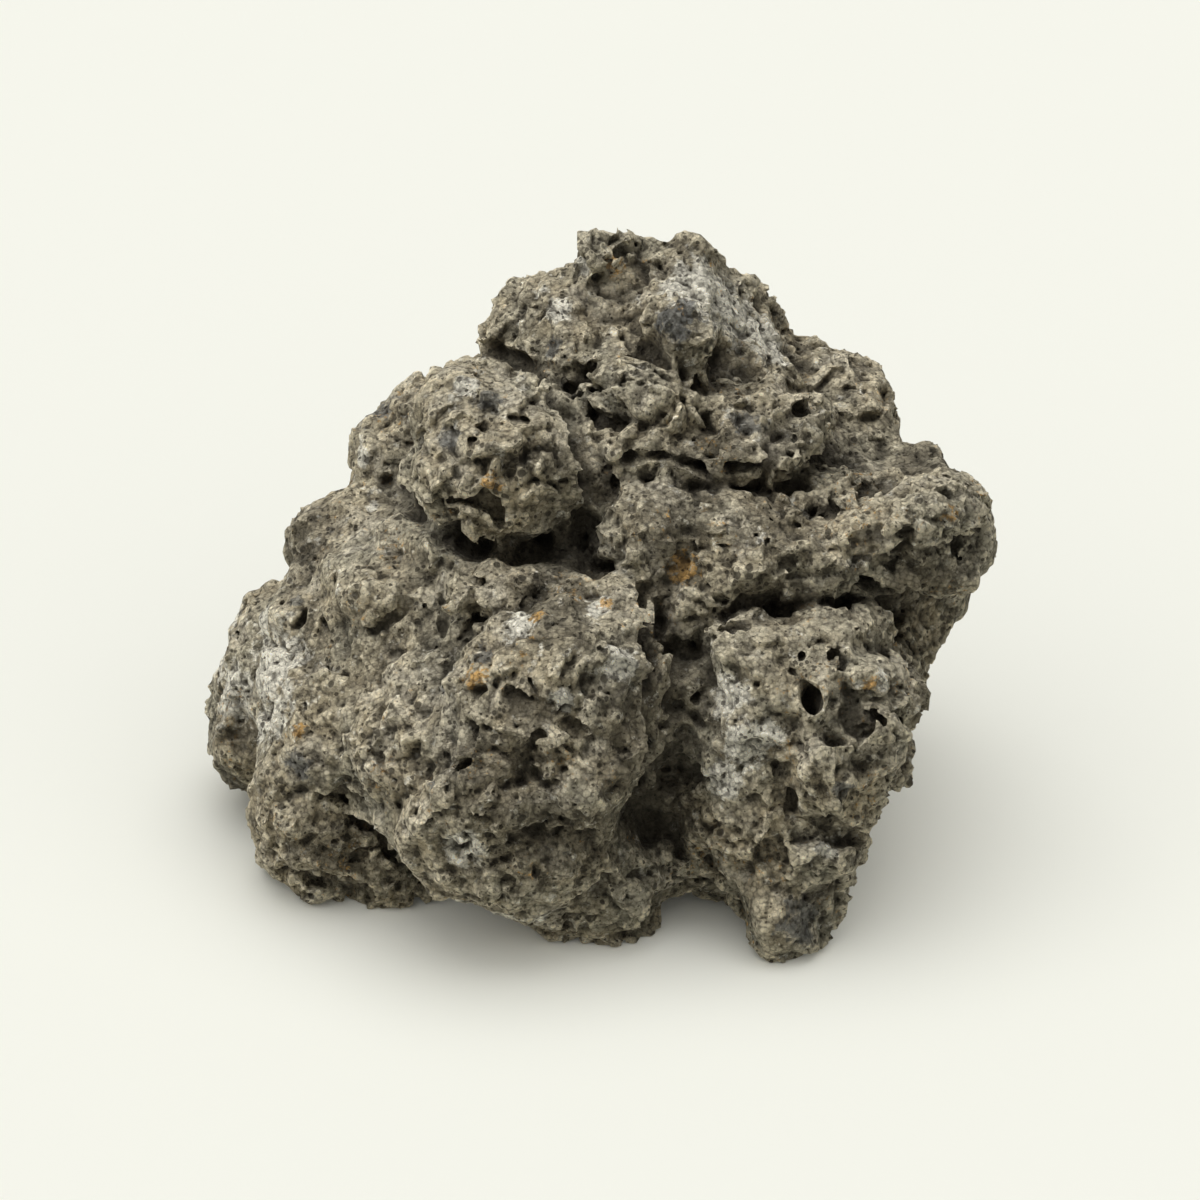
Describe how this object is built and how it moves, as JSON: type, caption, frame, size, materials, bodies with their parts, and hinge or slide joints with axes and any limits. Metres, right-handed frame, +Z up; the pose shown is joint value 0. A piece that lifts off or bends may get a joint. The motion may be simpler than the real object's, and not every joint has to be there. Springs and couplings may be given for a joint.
{
  "type": "lava rock",
  "caption": "Rough block of porous lava rock with rounded lobes, a ledge and deep crevices, for garden, terrarium or aquarium dressing.",
  "frame": {"origin": "middle of the rock's bounding box at the level of its feet", "axes": "+X along the rock's length, +Y away from its front lobes, +Z up from the surface it stands on"},
  "size_m": [0.2014, 0.1662, 0.1522],
  "materials": {
    "stone": "dull grey-brown vesicular basalt, very rough, with pale mineral bloom and small rusty specks"
  },
  "bodies": {
    "root": {"lava_rock": "stone"}
  },
  "joints": []
}
